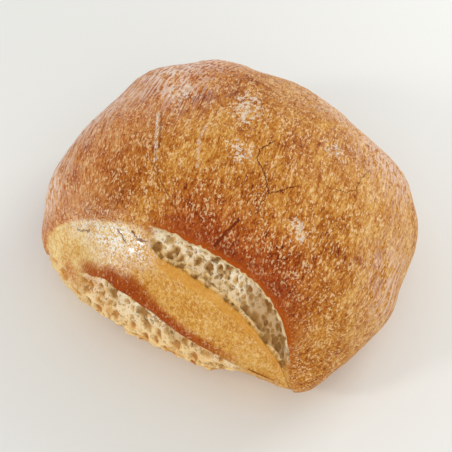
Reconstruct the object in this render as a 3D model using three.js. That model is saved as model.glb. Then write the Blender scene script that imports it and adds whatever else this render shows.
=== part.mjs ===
// A crusty bread roll, in millimetres, Z up. It is one closed solid that rests on the plane z = 0.
//
// The crust was slashed along the front, and the oven opened the slash into two tears that run along X
// and face -Y. A strip of crust is left between them. The upper tear lies under the ear, the raised lip
// of the dome. The lower one lies under the flap, the edge of the strip that hangs over it.
import * as THREE from "three";

// The smooth dome: how far it reaches from the middle of the base
const DOME_RIGHT = 51.3;
const DOME_LEFT = 52.1;
const DOME_BACK = 48.6;
const DOME_FRONT = 40.9;
const DOME_HEIGHT = 54.2;
const GIRTH_HEIGHT = 16.0; // the level at which the roll is widest
const UNDERSIDE = 1.35 * GIRTH_HEIGHT; // depth below the girth before the dough settled flat
const GIRTH_BLEND = 9.0; // the dome passes into the underside within this of the girth

// How square the dome is: 2 is an ellipse, and more is squarer
const PLAN_POWER = 2.76;
const TOP_POWER = 2.0;
const UNDER_POWER = 2.29;

// How the dough leaned as it was shaped, and how it settled on the baking sheet
const TAPER = -0.0015; // the width lost for each millimetre to the right
const SKEW = -0.052; // the sideways lean for each millimetre to the back
const BASE_ROUNDING = 1.6;
const BASE_TOUCH = 0.3; // what would hang lower than this over the baking sheet lies flat on it

// The slash, seen from the front
const SLASH_X = 1.5;
const SLASH_RIGHT = 36.5;
const SLASH_LEFT = 42.0;
const SLASH_TOP = 44.0; // the level of the ear where it is highest
const SLASH_END_RIGHT = 9.5; // the levels of the slash's two ends
const SLASH_END_LEFT = 13.0;
const EAR_POWER_RIGHT = 2.9;
const EAR_POWER_LEFT = 2.15;
const EAR_SWELL = 1.2; // how proud the ear stands of the dome
const CREASE_SWELL = 0.7; // and the closed crease to the left of it
const LIP_WIDTH = 6.0;
const FOOT_HEIGHT = 8.5; // the level of the lower tear's lower edge
const FOOT_POWER = 3.0;

// The strip of crust between the tears
const STRIP_END_RIGHT = 0.8; // how much sooner than the slash it ends
const STRIP_END_LEFT = 1.6;
const STRIP_END_RISE = 0.8; // and how much higher
const STRIP_TOP = 38.1;
const STRIP_POWER_RIGHT = 2.07;
const STRIP_POWER_LEFT = 1.85;
const STRIP_SUNK = 1.2; // how far it has sunk beside the open upper tear
const STRIP_HOLLOW = 0.6; // how much deeper its face dips there
const STRIP_RIDGE = { at: 0.92, spread: 0.08, height: 0.7 }; // the rim beside the upper tear
const STRIP_PARTS = { from: -8.5, to: 1 }; // where along X it parts from the dome
const CREASE_WIDTH = 2.4;
const CREASE_DEPTH = 0.3;
const FLAP_X = -13.0; // where the flap is highest
const FLAP_TOP = 28.8;
const FLAP_POWER_RIGHT = 1.35;
const FLAP_POWER_LEFT = 1.6;
const FLAP_SWELL = 1.5;
const FLAP_RISES = { from: 0.25, to: 1 }; // where it rises, from the strip's middle line to its edge
const FOOT_BOW = 0.2;

// Where along X each tear opens, and where and by how much it closes again
const UPPER_TEAR_OPENS = { from: -8, to: 2 };
const UPPER_TEAR_CLOSES = { from: 30, to: 39, by: 0.35 };
const LOWER_TEAR_OPENS = { from: -24, to: -17 };
const LOWER_TEAR_CLOSES = { from: 12, to: 30, by: 0.85 };
const TEAR_ENDS = 0.93; // the share of the slash after which both close altogether

// Sections across the tears. The first number runs from the strip's edge (0) to the dome's edge (1), and
// the second is the distance out from the smooth dome. Both undercut the crust that hangs over them.
const UPPER_TEAR = section([
  [0, -0.9], [0.05, -1.9], [0.25, -3.2], [0.5, -3.9], [0.78, -3.9], [0.96, -3.1],
  [1.02, -2.0], [1.0, -1.0], [0.95, -0.2], [0.94, 0.6], [1, EAR_SWELL],
]);
const LOWER_TEAR = section([
  [0, FLAP_SWELL], [0.05, 0.7], [-0.02, -0.4], [-0.03, -1.4], [0.08, -2.2], [0.28, -2.2],
  [0.48, -1.7], [0.66, -1.0], [0.82, -0.4], [0.93, 0.1], [1, 0],
]);

// Where the dough swelled or sagged: a place, how far the swell spreads, and how high it stands
const SWELLS = [
  { x: 37, y: 34, z: 26, spread: 9, height: 1.0 }, // back right shoulder
  { x: 25, y: 37, z: 35, spread: 9, height: -1.4 },
  { x: 2, y: 40, z: 38, spread: 9, height: 0.9 },
  { x: -37, y: 30, z: 38, spread: 10, height: -0.8 }, // back left shoulder
  { x: -44, y: 22, z: 35, spread: 6, height: 0.8 },
  { x: -43, y: -30, z: 19, spread: 7, height: 0.3 }, // left end of the crease
  { x: -32, y: -38, z: 12, spread: 7, height: -1.3 },
  { x: 12, y: -39, z: 9, spread: 7, height: 0.3 }, // foot of the front
  { x: 25, y: -38, z: 7, spread: 7, height: -2.0 },
  { x: 41, y: -31, z: 10, spread: 6, height: 2.2 }, // the near corner
  { x: 50, y: -13, z: 10, spread: 9, height: -1.2 },
  { x: 52, y: -1, z: 15, spread: 7, height: 0.7 }, // right side
  { x: 49, y: 18, z: 18, spread: 9, height: -1.0 },
];

// Gentle unevenness as pairs of crossing waves. Each wave has its turn along X, Y and Z in radians for each
// millimetre, and its start.
const DOUGH_WAVES = [
  { height: 0.35, one: [0.21, 0, 0, 0.9], other: [0, 0.17, 0, 0.4] },
  { height: 0.35, one: [0.13, 0, -0.19, 2.1], other: [0.11, 0.23, 0, 0] },
  { height: 0.21, one: [0, 0.31, 0.27, 0], other: [0.29, 0, 0, 1.7] },
];
const CRUMB_WAVES = [
  { height: 0.4, one: [0.95, 0, 0.8, 0.5], other: [0.55, 0, -0.9, 1.1] },
  { height: 0.28, one: [1.25, 0, 0.3, 2.0], other: [0.4, 0, 1.1, 0] },
];

// The net of facets: spokes run outwards from the strip, and rings go round it
const SPOKES = 96;
const STRIP_RINGS = 7;
const TEAR_RINGS = 14;
const DOME_RINGS = 38;
const END_CROWDING = 2 / 2.2; // below 1, the spokes lie closer at the slash's two ends
const RING_CROWDING = 1.15; // above 1, the dome's rings lie closer near its lip
const REACH_STEPS = 8; // how often the smooth dome's reach is refined
const TINY = 1e-6;

const CRUST = new THREE.MeshStandardMaterial({ color: 0xbb834a, roughness: 0.55, metalness: 0 });

function section(points) {
  return new THREE.SplineCurve(points.map(([across, height]) => new THREE.Vector2(across, height)));
}

// Rises smoothly from 0 to 1 as the value goes from one end to the other
function ease(from, to, value) {
  const share = THREE.MathUtils.clamp((value - from) / (to - from), 0, 1);
  return share * share * (3 - 2 * share);
}

// A bell of height 1
function bell(distance, spread) {
  return Math.exp(-((distance / spread) ** 2));
}

// The height of an arch of span 1 at a distance from its crown
function arch(distance, crownPower) {
  return Math.max(1 - Math.abs(distance) ** crownPower, 0) ** (1 / crownPower);
}

// How far a place lies out from the core, as shares of the smooth dome's reach on that side
function shares(x, y, rise) {
  const reach = new THREE.Vector3(
    x > 0 ? DOME_RIGHT : DOME_LEFT,
    y > 0 ? DOME_BACK : DOME_FRONT,
    THREE.MathUtils.lerp(UNDERSIDE, DOME_HEIGHT - GIRTH_HEIGHT, ease(-GIRTH_BLEND, GIRTH_BLEND, rise)),
  );
  return {
    reach,
    x: Math.abs(x) / reach.x,
    y: Math.abs(y) / reach.y,
    rise: Math.abs(rise) / reach.z,
    power: THREE.MathUtils.lerp(UNDER_POWER, TOP_POWER, ease(-1.5 * GIRTH_BLEND, 0, rise)),
  };
}

// The point of the smooth dome that lies from its core along a unit direction
function domePointAlong(direction) {
  const offset = direction.clone().multiplyScalar(DOME_BACK);
  for (let step = 0; step < REACH_STEPS; step += 1) {
    const share = shares(offset.x, offset.y, offset.z);
    const plan = share.x ** PLAN_POWER + share.y ** PLAN_POWER;
    const outside = plan ** (share.power / PLAN_POWER) + share.rise ** share.power;
    offset.divideScalar(outside ** (1 / share.power));
  }
  return offset.add(new THREE.Vector3(0, 0, GIRTH_HEIGHT));
}

// The point of the smooth dome's front that lies above x at a height
function frontPoint(x, height) {
  const share = shares(x, -1, height - GIRTH_HEIGHT);
  const plan = Math.max(1 - share.rise ** share.power, TINY) ** (PLAN_POWER / share.power);
  const depth = Math.max(plan - share.x ** PLAN_POWER, TINY) ** (1 / PLAN_POWER);
  return new THREE.Vector3(x, -DOME_FRONT * depth, height);
}

// The way the smooth dome's skin faces at a point of it
function facing(point) {
  const rise = point.z - GIRTH_HEIGHT;
  const share = shares(point.x, point.y, rise);
  const plan = Math.max(share.x ** PLAN_POWER + share.y ** PLAN_POWER, TINY);
  const round = plan ** (share.power / PLAN_POWER - 1);
  return new THREE.Vector3(
    Math.sign(point.x) * round * share.x ** (PLAN_POWER - 1),
    Math.sign(point.y) * round * share.y ** (PLAN_POWER - 1),
    Math.sign(rise) * share.rise ** (share.power - 1),
  ).divide(share.reach).normalize();
}

// The dough's unevenness at a point of the smooth dome
function unevenness({ x, y, z }) {
  let height = 0;
  for (const swell of SWELLS) {
    const distance = Math.hypot(x - swell.x, y - swell.y, z - swell.z);
    height += swell.height * bell(distance, swell.spread);
  }
  return height + crossed(DOUGH_WAVES, x, y, z);
}

// The sum of pairs of crossing waves at a place
function crossed(waves, x, y, z) {
  const wave = ([alongX, alongY, alongZ, start]) => Math.sin(alongX * x + alongY * y + alongZ * z + start);
  return waves.reduce((sum, { height, one, other }) => sum + height * wave(one) * wave(other), 0);
}

// Moves a point of the smooth dome out by a height, and by the dough's unevenness
function raised(point, height) {
  return point.clone().addScaledVector(facing(point), height + unevenness(point));
}

// The slash where one spoke crosses it: the edges of the strip and the dome, and how open the tear is
function slashAt(spokeAngle) {
  const cosine = Math.cos(spokeAngle);
  const across = Math.sign(cosine) * Math.abs(cosine) ** END_CROWDING;
  const onTop = Math.sin(spokeAngle) >= 0;
  const toRight = across > 0;
  const reach = toRight ? SLASH_RIGHT : SLASH_LEFT;
  const earArch = arch(across, toRight ? EAR_POWER_RIGHT : EAR_POWER_LEFT);
  const slashEnd = toRight ? SLASH_END_RIGHT : SLASH_END_LEFT;
  const outerX = SLASH_X + reach * across;
  const outerTop = THREE.MathUtils.lerp(slashEnd, SLASH_TOP, earArch);
  const outerFoot = THREE.MathUtils.lerp(slashEnd, FOOT_HEIGHT, arch(across, FOOT_POWER));

  const stripX = SLASH_X + (reach - (toRight ? STRIP_END_RIGHT : STRIP_END_LEFT)) * across;
  const stripEnd = slashEnd + STRIP_END_RISE;
  const stripArch = arch(across, toRight ? STRIP_POWER_RIGHT : STRIP_POWER_LEFT);
  const besideCrease = THREE.MathUtils.lerp(stripEnd, SLASH_TOP - CREASE_WIDTH, earArch);
  const besideTear = THREE.MathUtils.lerp(stripEnd, STRIP_TOP, stripArch);
  const parted = ease(STRIP_PARTS.from, STRIP_PARTS.to, stripX);
  const stripTop = THREE.MathUtils.lerp(besideCrease, besideTear, parted);
  const stripRight = SLASH_X + SLASH_RIGHT - STRIP_END_RIGHT;
  const stripLeft = SLASH_X - SLASH_LEFT + STRIP_END_LEFT;
  const rightOfFlap = stripX > FLAP_X;
  const flapEnd = rightOfFlap ? stripRight : stripLeft;
  const flapEndHeight = (rightOfFlap ? SLASH_END_RIGHT : SLASH_END_LEFT) + STRIP_END_RISE;
  const alongFlap = Math.min((stripX - FLAP_X) / (flapEnd - FLAP_X), 1);
  const flapArch = arch(alongFlap, rightOfFlap ? FLAP_POWER_RIGHT : FLAP_POWER_LEFT);
  const stripFoot = THREE.MathUtils.lerp(flapEndHeight, FLAP_TOP, flapArch);

  const ends = ease(1, TEAR_ENDS, Math.abs(across));
  const opened = ({ from, to }) => ends * ease(from, to, stripX);
  const closed = ({ from, to, by }) => 1 - by * ease(from, to, stripX);
  const upperOpen = opened(UPPER_TEAR_OPENS) * closed(UPPER_TEAR_CLOSES);
  const lowerOpen = opened(LOWER_TEAR_OPENS) * closed(LOWER_TEAR_CLOSES);
  return {
    onTop,
    stripX,
    stripMiddle: (stripTop + stripFoot) / 2,
    stripEdge: onTop ? stripTop : stripFoot,
    outerX,
    outerEdge: onTop ? outerTop : outerFoot,
    upperOpen,
    open: onTop ? upperOpen : lowerOpen,
  };
}

// A point of the strip, from its middle line (0) to its edge (1)
function stripPoint(slash, share) {
  const height = THREE.MathUtils.lerp(slash.stripMiddle, slash.stripEdge, share);
  const middle = -STRIP_SUNK * slash.upperOpen;
  const hollow = -STRIP_SUNK - STRIP_HOLLOW * Math.sin(Math.PI * Math.min(share / 0.8, 1));
  const ridge = STRIP_RIDGE.height * bell(share - STRIP_RIDGE.at, STRIP_RIDGE.spread);
  const flap = middle + slash.open * (STRIP_SUNK + FLAP_SWELL) * ease(FLAP_RISES.from, FLAP_RISES.to, share);
  const edge = slash.onTop ? slash.open * (hollow + ridge) : flap;
  return raised(frontPoint(slash.stripX, height), THREE.MathUtils.lerp(middle, edge, ease(0, 0.35, share)));
}

// A point of the torn crumb, from the strip's edge (0) to the dome's edge (1)
function tearPoint(slash, share) {
  const bow = Math.sin(Math.PI * share);
  const creaseHeight = THREE.MathUtils.lerp(-CREASE_DEPTH, CREASE_SWELL, ease(0, 1, share));
  const closedHeight = slash.onTop ? creaseHeight : FOOT_BOW * bow;
  const closed = new THREE.Vector2(share, closedHeight);
  const torn = (slash.onTop ? UPPER_TEAR : LOWER_TEAR).getPoint(share);
  const { x: across, y: height } = closed.lerp(torn, slash.open);
  const x = THREE.MathUtils.lerp(slash.stripX, slash.outerX, across);
  const z = THREE.MathUtils.lerp(slash.stripEdge, slash.outerEdge, across);
  const lump = crossed(CRUMB_WAVES, x, 0, z) * slash.open * bow;
  return raised(frontPoint(x, z), height + lump);
}

// A point of the dome, from the slash's outer edge (0) to the middle of the back (1)
function domePoint(slash, share, evenTurn) {
  const edge = frontPoint(slash.outerX, slash.outerEdge).sub(new THREE.Vector3(0, 0, GIRTH_HEIGHT));
  const edgeTilt = Math.acos(-edge.y / edge.length());
  const edgeTurn = nearTurn(Math.atan2(edge.z, edge.x), evenTurn);
  const tilt = THREE.MathUtils.lerp(edgeTilt, Math.PI, share);
  const turn = THREE.MathUtils.lerp(edgeTurn, evenTurn, ease(0, 1, share));
  const around = Math.sin(tilt);
  const direction = new THREE.Vector3(around * Math.cos(turn), -Math.cos(tilt), around * Math.sin(turn));
  const fromEdge = (tilt - edgeTilt) * edge.length();
  const lip = slash.onTop ? THREE.MathUtils.lerp(CREASE_SWELL, EAR_SWELL, slash.open) : 0;
  return raised(domePointAlong(direction), lip * bell(fromEdge, LIP_WIDTH));
}

// The same turn, counted so that it lies within half a turn of another
function nearTurn(turn, other) {
  const whole = 2 * Math.PI;
  return turn + whole * Math.round((other - turn) / whole);
}

// Leans and tapers the dough, and presses its underside flat
function settled(point) {
  const y = point.y * (1 + TAPER * point.x);
  const rounded = Math.max(point.z + BASE_ROUNDING, 0) ** 2 / (4 * BASE_ROUNDING);
  const z = point.z > BASE_ROUNDING ? point.z : rounded;
  return new THREE.Vector3(point.x + SKEW * y, y, z < BASE_TOUCH ? 0 : z);
}

// All the rings from the strip's middle line outwards, each with one point for each spoke
function allRings() {
  const spokes = Array.from({ length: SPOKES }, (_, spoke) => (2 * Math.PI * spoke) / SPOKES);
  const slashes = spokes.map(slashAt);
  const firstTurn = Math.atan2(slashes[0].outerEdge - GIRTH_HEIGHT, slashes[0].outerX);
  const rings = [];
  for (let ring = 0; ring < STRIP_RINGS; ring += 1) {
    rings.push(slashes.map((slash) => stripPoint(slash, ring / STRIP_RINGS)));
  }
  for (let ring = 0; ring <= TEAR_RINGS; ring += 1) {
    rings.push(slashes.map((slash) => tearPoint(slash, ring / TEAR_RINGS)));
  }
  for (let ring = 1; ring < DOME_RINGS; ring += 1) {
    const share = (ring / DOME_RINGS) ** RING_CROWDING;
    rings.push(slashes.map((slash, spoke) => domePoint(slash, share, firstTurn + spokes[spoke])));
  }
  return rings;
}

// Joins the rings into one closed skin. The first ring is a line, so its two sides share their points,
// and the last ring closes on one point in the middle of the back.
function rollGeometry() {
  const rings = allRings();
  const linePoints = SPOKES / 2 + 1;
  const back = raised(new THREE.Vector3(0, DOME_BACK, GIRTH_HEIGHT), 0);
  const points = [...rings[0].slice(0, linePoints), ...rings.slice(1).flat(), back].map(settled);
  const pointIndex = (ring, spoke) => {
    const around = spoke % SPOKES;
    if (ring === 0) {
      return Math.min(around, SPOKES - around);
    }
    return ring === rings.length ? points.length - 1 : linePoints + (ring - 1) * SPOKES + around;
  };
  const facets = [];
  for (let ring = 0; ring < rings.length; ring += 1) {
    for (let spoke = 0; spoke < SPOKES; spoke += 1) {
      const inner = pointIndex(ring, spoke);
      const nextInner = pointIndex(ring, spoke + 1);
      const outer = pointIndex(ring + 1, spoke);
      const nextOuter = pointIndex(ring + 1, spoke + 1);
      facets.push(inner, nextOuter, nextInner);
      if (ring < rings.length - 1) {
        facets.push(inner, outer, nextOuter);
      }
    }
  }
  const geometry = new THREE.BufferGeometry().setFromPoints(points);
  geometry.setIndex(facets);
  geometry.computeVertexNormals();
  return geometry;
}

// Puts the middle of the roll's bounding box above the origin
function centred(geometry) {
  geometry.computeBoundingBox();
  const middle = geometry.boundingBox.getCenter(new THREE.Vector3());
  return geometry.translate(-middle.x, -middle.y, 0);
}

const roll = new THREE.Mesh(centred(rollGeometry()), CRUST);
roll.name = "bread_roll";

const part = new THREE.Group();
part.add(roll);

export default part;
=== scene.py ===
# A crusty bread roll on a pale floor: the baked skin with its torn slash, its materials, and the studio.
# Lengths are in millimetres until the skin is built. Blender's own lengths are in metres.
import math
from collections import namedtuple

import bpy
import numpy as np
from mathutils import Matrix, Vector, noise


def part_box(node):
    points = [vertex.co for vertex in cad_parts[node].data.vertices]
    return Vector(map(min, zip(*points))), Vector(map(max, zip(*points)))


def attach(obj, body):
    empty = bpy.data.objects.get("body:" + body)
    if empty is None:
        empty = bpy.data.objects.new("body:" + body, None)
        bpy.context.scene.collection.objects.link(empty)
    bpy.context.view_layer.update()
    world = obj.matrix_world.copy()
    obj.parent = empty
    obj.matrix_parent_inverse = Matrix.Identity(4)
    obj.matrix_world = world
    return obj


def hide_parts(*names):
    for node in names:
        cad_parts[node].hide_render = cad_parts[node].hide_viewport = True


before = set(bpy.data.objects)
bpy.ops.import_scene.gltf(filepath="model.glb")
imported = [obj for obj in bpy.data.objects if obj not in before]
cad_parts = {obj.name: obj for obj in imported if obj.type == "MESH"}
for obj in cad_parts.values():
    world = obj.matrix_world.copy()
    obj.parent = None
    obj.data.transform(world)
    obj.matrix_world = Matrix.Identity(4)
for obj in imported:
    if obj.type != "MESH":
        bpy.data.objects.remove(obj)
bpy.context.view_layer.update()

MILLIMETRE = 0.001

# The smooth dome: how far it reaches from the middle of the base
DOME_RIGHT = 51.3
DOME_LEFT = 52.1
DOME_BACK = 48.6
DOME_FRONT = 40.9
DOME_HEIGHT = 54.2
GIRTH_HEIGHT = 16.0
UNDERSIDE = 1.35 * GIRTH_HEIGHT
GIRTH_BLEND = 9.0
PLAN_POWER = 2.76
TOP_POWER = 2.0
UNDER_POWER = 2.29

# How the dough leaned as it was shaped, and how it settled on the baking sheet
TAPER = -0.0015
SKEW = -0.052
BASE_ROUNDING = 1.6
BASE_TOUCH = 0.3

# The slash, seen from the front
SLASH_X = 1.5
SLASH_TOP = 44.0
SLASH_END_RIGHT = 9.5
SLASH_END_LEFT = 13.0
SLASH_RIGHT = 36.5
SLASH_LEFT = 42.0
EAR_POWER_RIGHT = 2.9
EAR_POWER_LEFT = 2.15
EAR_SWELL = 1.2
CREASE_SWELL = 0.7
LIP_WIDTH = 6.0
FOOT_HEIGHT = 8.5
FOOT_POWER = 3.0

# The strip of crust between the two tears
STRIP_END_RIGHT = 0.8
STRIP_END_LEFT = 1.6
STRIP_END_RISE = 0.8
STRIP_TOP = 38.1
STRIP_POWER_RIGHT = 2.07
STRIP_POWER_LEFT = 1.85
STRIP_SUNK = 1.2
STRIP_HOLLOW = 0.6
STRIP_RIDGE_AT = 0.92
STRIP_RIDGE_SPREAD = 0.08
STRIP_RIDGE_HEIGHT = 0.7
STRIP_PARTS = (-8.5, 1)
CREASE_WIDTH = 2.4
CREASE_DEPTH = 0.3
FLAP_X = -13.0
FLAP_TOP = 28.8
FLAP_POWER_RIGHT = 1.35
FLAP_POWER_LEFT = 1.6
FLAP_SWELL = 1.5
FLAP_RISES = (0.25, 1)
FOOT_BOW = 0.2

# Where along X each tear opens, and where and by how much it closes again
UPPER_TEAR_OPENS = (-8, 2)
UPPER_TEAR_CLOSES = (30, 39, 0.35)
LOWER_TEAR_OPENS = (-24, -17)
LOWER_TEAR_CLOSES = (12, 30, 0.85)
TEAR_ENDS = 0.93

# Sections across the tears: how far on from the strip's edge (0) to the dome's (1), and how high
UPPER_TEAR = [
    (0, -0.9), (0.05, -1.9), (0.25, -3.2), (0.5, -3.9), (0.78, -3.9), (0.96, -3.1),
    (1.02, -2.0), (1.0, -1.0), (0.95, -0.2), (0.94, 0.6), (1, EAR_SWELL),
]
LOWER_TEAR = [
    (0, FLAP_SWELL), (0.05, 0.7), (-0.02, -0.4), (-0.03, -1.4), (0.08, -2.2), (0.28, -2.2),
    (0.48, -1.7), (0.66, -1.0), (0.82, -0.4), (0.93, 0.1), (1, 0),
]

# Where the dough swelled or sagged: the place, the spread of the swell, and its height
Swell = namedtuple("Swell", "x y z spread height")
SWELLS = [
    Swell(37, 34, 26, 9, 1.0),
    Swell(25, 37, 35, 9, -1.4),
    Swell(2, 40, 38, 9, 0.9),
    Swell(-37, 30, 38, 10, -0.8),
    Swell(-44, 22, 35, 6, 0.8),
    Swell(-43, -30, 19, 7, 0.3),
    Swell(-32, -38, 12, 7, -1.3),
    Swell(12, -39, 9, 7, 0.3),
    Swell(25, -38, 7, 7, -2.0),
    Swell(41, -31, 10, 6, 2.2),
    Swell(50, -13, 10, 9, -1.2),
    Swell(52, -1, 15, 7, 0.7),
    Swell(49, 18, 18, 9, -1.0),
]

# Pairs of crossing waves: a height, then each wave's turn along X, Y and Z and its start
Waves = namedtuple("Waves", "height one other")
DOUGH_WAVES = [
    Waves(0.35, (0.21, 0, 0, 0.9), (0, 0.17, 0, 0.4)),
    Waves(0.35, (0.13, 0, -0.19, 2.1), (0.11, 0.23, 0, 0)),
    Waves(0.21, (0, 0.31, 0.27, 0), (0.29, 0, 0, 1.7)),
]
CRUMB_WAVES = [
    Waves(0.4, (0.95, 0, 0.8, 0.5), (0.55, 0, -0.9, 1.1)),
    Waves(0.28, (1.25, 0, 0.3, 2.0), (0.4, 0, 1.1, 0)),
]

# The net of faces: spokes run outwards from the strip, and rings go round it
SPOKES = 480
STRIP_RINGS = 30
TEAR_RINGS = 62
DOME_RINGS = 112
END_CROWDING = 2 / 2.2
RING_CROWDING = 1.15
REACH_STEPS = 8
TINY = 1e-6

# A distance that is far from the slash
FAR_AWAY = 1000

# The crust's fine relief
WRINKLE_HEIGHT = 0.16
LEATHER_HEIGHT = 0.09
DIMPLE_HEIGHT = 0.2
RAGGED_EDGE = 0.26
PORE_DEPTH = 1.0
BIG_PORE = 2.6
MIDDLING_PORE = 1.4
SMALLEST_BUBBLE = 0.48  # the radius, as a share of the spacing
BUBBLES_VARY = 0.3
BUBBLE_WALL = 0.25
BUBBLE_SHUFFLE = 9.7  # gives neighbouring bubbles sizes of their own
PORE_STRETCH = 0.75  # pores are drawn out across the tears
PORE_STRETCH_BELOW = 0.5  # more so in the lower one
LUMP_HEIGHT = 1.35  # of the toasted dough round the lower tear
LUMP_SIZE = 2.6
BANK_HEIGHT = 0.6  # of the crumb where it meets the strip
LEAN_OF_STRETCH = 0.3  # how far the stretch marks lean away from Y
LEAN_ON_THE_LEFT = 0.7
ROLLED_EDGE = 0.16  # how far the flap's rolled edge reaches over the lower tear
EAR_TOASTING = 0.25  # how much browner the crust is beside the ear

# Patches of the bread: each one's place along X, Y and Z, how far it spreads, and its strength
BROWNER_OR_PALER = [
    (46.9, -4.3, 31.7, 6, 0.16),
    (-17.7, -27.8, 45.8, 5, 0.12),
    (-6.9, -10.1, 53.5, 9, -0.07),
    (-12, 6, 52.5, 9, 0.05),
    (-4, 15, 51, 9, 0.05),
    (-30, -10, 45, 8, -0.06),
    (-1, -1, 54, 10, -0.05),
    (23, -7, 50, 11, -0.03),
    (33.5, 1.6, 44.7, 15, -0.04),
    (12.6, 27.7, 43.8, 16, -0.04),
    (45.3, -30, 16.8, 12, 0.02),
    (-19.2, 16.3, 49.4, 9, 0.05),
    (-41, -30, 30, 9, -0.14),
    (-30, 0, 45, 12, -0.05),
    (38, 8, 40, 9, -0.06),
    (22, -2, 50, 10, 0.06),
    (38, -13, 40, 10, 0.12),
    (-18, 2, 50, 9, 0.04),
]
BROWNER_ON_THE_STRIP = [
    (-9, -43, 28, 5, 0.14),
    (-24, -43, 21, 3.5, 0.25),
    (-33, -38, 27, 6, -0.14),
]
REDDER_ON_THE_STRIP = [
    (-10, -43, 29, 5, 0.5),
    (-24, -43, 21, 4, 0.8),
]
FLOURED_PLACES = [
    (-0.5, 4.9, 53.6, 5, 0.8),
    (5.5, -6.6, 54, 4.5, 0.75),
    (-3, 11.5, 52.2, 4, 0.8),
    (-22.2, 5.3, 50.4, 5, 0.9),
    (-30, 16, 44, 6, 0.7),
    (23.4, 11.5, 48.5, 4, 0.6),
    (28.9, -15.5, 47, 4, 0.7),
    (33, -22, 40, 4, 0.5),
    (10, 30, 43, 16, 0.25),
    (36, 15, 38, 12, 0.2),
]
# Where dust lies on the crust, which on its flanks and back is also a painted sheen at grazing angles
DUST_AND_PAINTED_SHEEN_PLACES = [
    (-33, 14, 40, 13, 1.0),
    (-21, 5, 48, 9, 0.55),
    (-44, -6, 34, 12, 1.0),
    (-42, -29, 30, 9, 1.0),
    (-46, -22, 26, 9, 0.7),
    (-26, 28, 38, 12, 0.7),
    (12, 36, 40, 14, 0.6),
    (34, 26, 36, 13, 0.7),
    (50, -2, 24, 12, 0.6),
]
# Where the shoulder is glossy, and where white glints are painted on it as a painted highlight
GLOSS_AND_PAINTED_GLINT_PLACES = [
    (-14, -37.5, 38, 6.5, 1.0),
    (-25, -33.5, 36.5, 6, 0.9),
    (-4.5, -36.5, 38.5, 4.5, 0.8),
    (-10, -43, 29, 4, 0.5),
]

# Where painted shade darkens hollows of the torn crumb, and where it is toasted golden
PAINTED_SHADE_IN_THE_TEARS = [
    (-9, -44.8, 22, 2.5, 0.5),
    (8.5, -43.8, 19, 3, 0.6),
    (17.5, -43, 19, 2.5, 0.6),
    (30.5, -36.9, 29.8, 1.4, 1.0),
]
GOLDEN_IN_THE_TEARS = [
    (-17.4, -44.3, 22.6, 3, 1.3),
    (-13.5, -45, 18, 2.6, 0.8),
    (-10, -45.2, 15, 2, 0.7),
    (19.4, -42.8, 20.3, 5, 0.7),
    (12, -43.5, 19, 3, 0.4),
]

# The dark band of crust along the flap's edge
LIP_BAND = 1.6
LIP_BAND_WIDENS = 1.3
LIP_WIDEST_AT = -5.0
LIP_WIDE_PART = 7.0

# Cracks and folds in the crust, from one end to the other, in plan
CRACK_OVER_THE_EAR = [(15.4, -22.7), (14.7, -25.2), (14.2, -27.7), (13.8, -30.0)]
STAR_MIDDLE = (18.2, -13.1)
CRACK_STAR_BACK = [(10.7, 1.5), (9.2, -3.1), (10.5, -6.5), (13.7, -8.5), (16.1, -10.9), STAR_MIDDLE]
CRACK_STAR_RIGHT = [STAR_MIDDLE, (20, -10.6), (21.4, -8.2), (22.7, -6.3)]
CRACK_STAR_FRONT = [STAR_MIDDLE, (18.0, -16.4), (18.6, -19.0)]
CRACK_STAR_LEFT = [STAR_MIDDLE, (14.2, -16.3)]
CRACK_RIGHT_SHOULDER = [(32, 14.9), (32.4, 9.1), (33.2, 4.9), (32.1, 2.0), (27.7, -0.7)]
CRACK_LEFT_FRONT = [(-13.8, -16.3), (-11, -20.4), (-7.7, -23), (-2.5, -25.6), (2.8, -29)]
CRACK_LEFT_BRANCH = [(-17.6, -10.6), (-28, -15.4)]
FLOURED_FOLD = [(-21.6, -4.7), (-18.6, -9.2), (-13.8, -16.3), (-12, -19)]
PALE_FOLD = [(-6.7, -4.0), (-5.0, -9.5), (-1.2, -16.0)]
BESIDE_THE_FLOURED_FOLD = [(-20.9, -4.3), (-17.8, -8.7), (-13.0, -15.9)]
SHOULDER_CRACK_FRONT = [(-12.6, -35.8), (-11, -36), (-9.3, -36.9)]
SHOULDER_CRACK_BACK = [(-8.8, -34.5), (-6.5, -35.3), (-4.1, -35.1)]
SHOULDER_CRACK_LEFT = [(-24.5, -37.8), (-20.5, -37.5)]

# Each line with its width and how strongly it shows
FOLDS = [
    (FLOURED_FOLD, 1.2, 0.9),
    (PALE_FOLD, 1.1, 0.55),
]
CRACKS = [
    (CRACK_OVER_THE_EAR, 1.0, 0.95),
    (CRACK_STAR_BACK, 0.44, 0.85),
    (CRACK_STAR_RIGHT, 0.36, 0.8),
    (CRACK_STAR_FRONT, 0.22, 0.8),
    (CRACK_STAR_LEFT, 0.16, 0.7),
    (CRACK_RIGHT_SHOULDER, 0.2, 0.7),
    (CRACK_LEFT_FRONT, 0.26, 0.5),
    (CRACK_LEFT_BRANCH, 0.22, 0.5),
    (BESIDE_THE_FLOURED_FOLD, 0.5, 0.6),
    (SHOULDER_CRACK_FRONT, 0.4, 0.75),
    (SHOULDER_CRACK_BACK, 0.4, 0.75),
    (SHOULDER_CRACK_LEFT, 0.35, 0.6),
]


def ease(start, end, value):
    """Rises smoothly from 0 to 1 as the value goes from start to end."""
    share = np.clip((value - start) / (end - start), 0, 1)
    return share * share * (3 - 2 * share)


def bell(distance, spread):
    """A bell of height 1."""
    return np.exp(-((distance / spread) ** 2))


def arch(distance, crown_power):
    """The height of an arch of span 1 at a distance from its crown."""
    return np.maximum(1 - np.abs(distance) ** crown_power, 0) ** (1 / crown_power)


def mix(low, high, share):
    return low + (high - low) * share


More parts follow.
